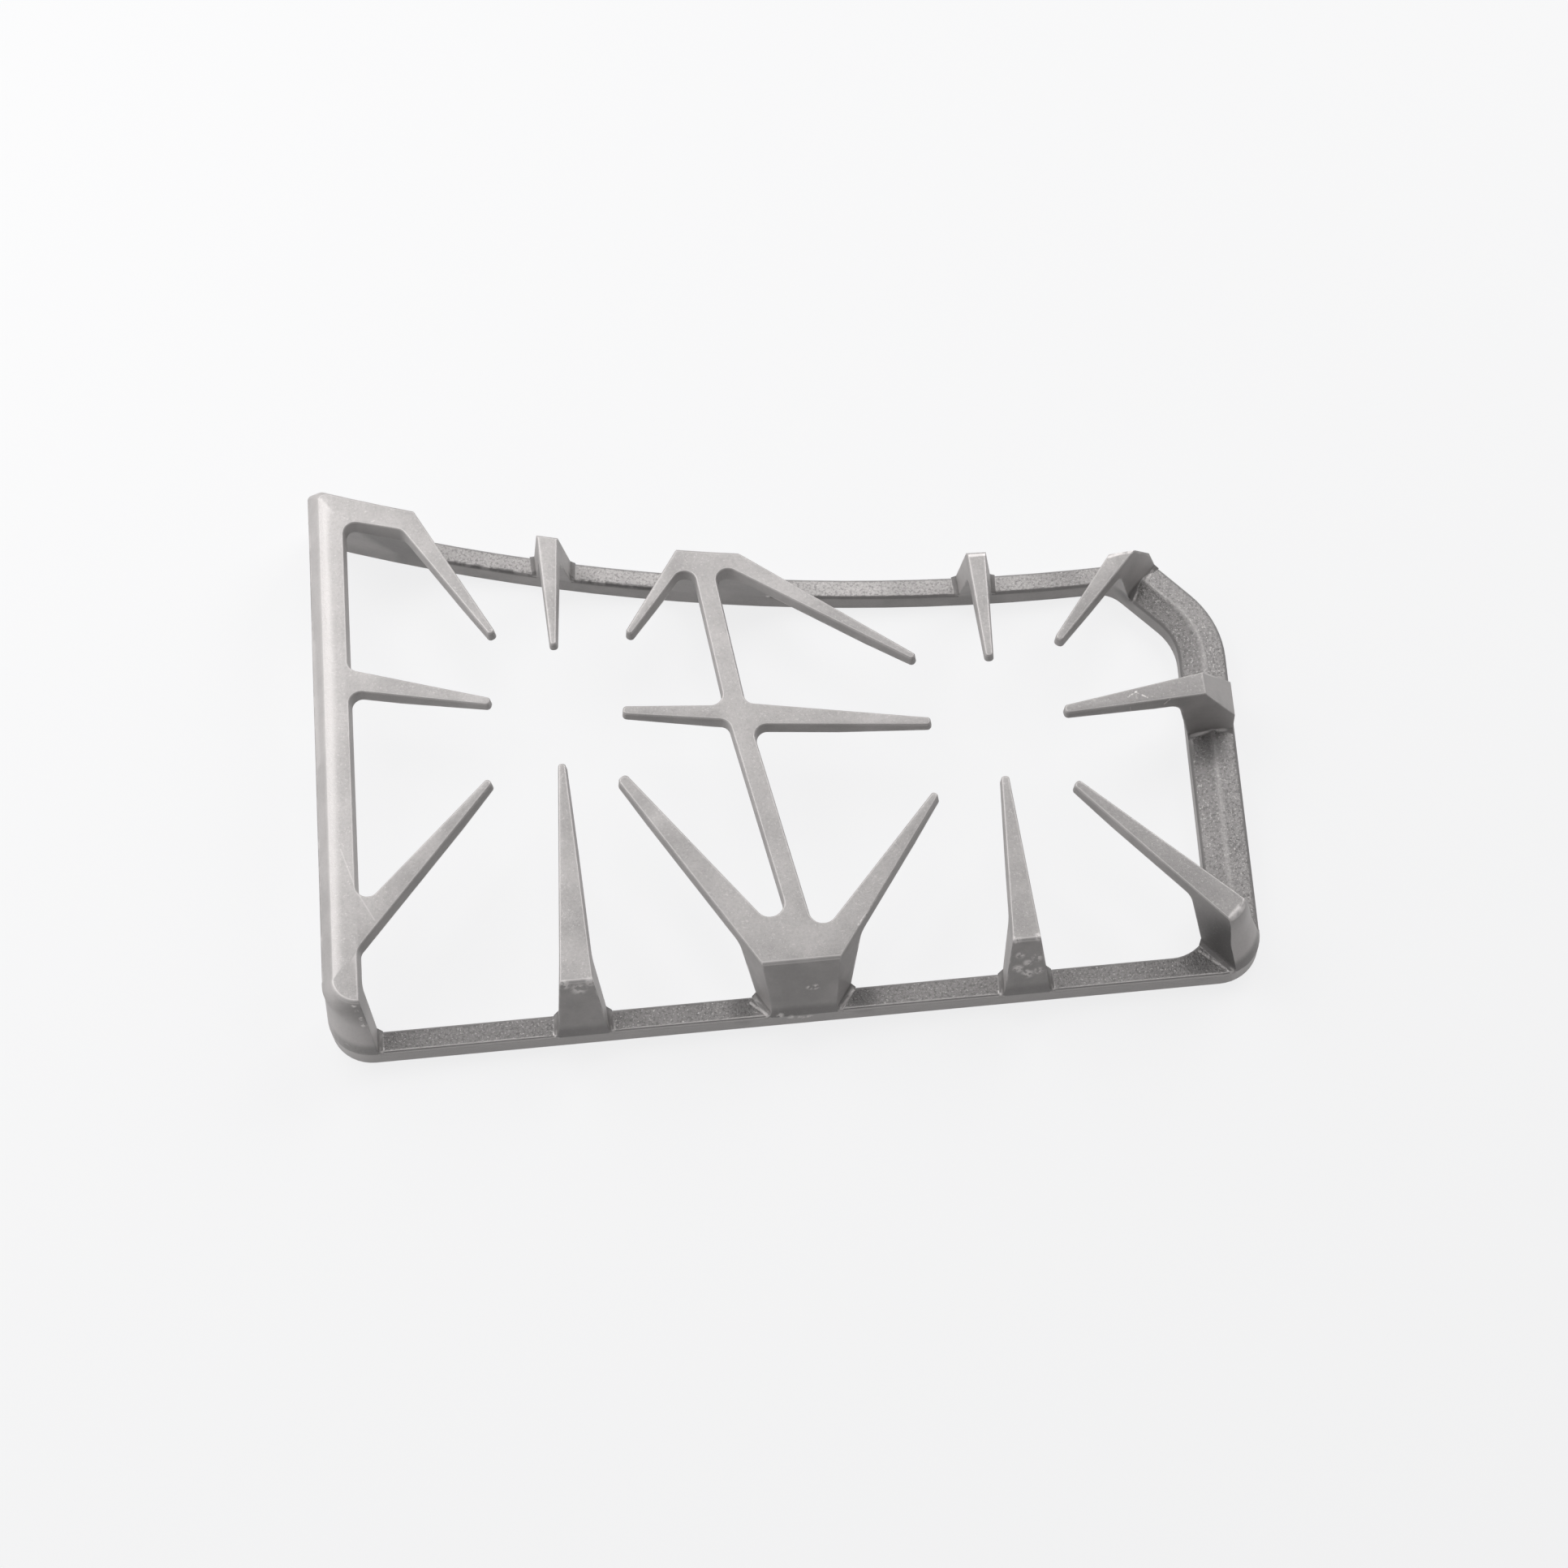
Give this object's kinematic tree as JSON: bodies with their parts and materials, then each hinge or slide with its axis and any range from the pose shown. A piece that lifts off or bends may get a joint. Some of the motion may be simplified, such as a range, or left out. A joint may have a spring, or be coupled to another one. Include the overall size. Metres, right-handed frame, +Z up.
{
  "type": "hob pan support",
  "caption": "Cast-iron pan support for a gas hob: a low rim with legs that run out into tapered fingers around the burners, all ending in one flat pan plane.",
  "frame": {"origin": "on the hob plate, below the middle of the bounding box", "axes": "+X along the straight front rim to the wide right side, +Y from the front rim to the bowed back rim, +Z up from the hob plate to the pan plane"},
  "size_m": [0.4484, 0.295, 0.046],
  "materials": {
    "cast_iron": "bare grey sand casting, satin, fine grain on top and coarse grain on the rim, bright worn edges"
  },
  "bodies": {
    "root": {"pan_support": "cast_iron"}
  },
  "joints": []
}
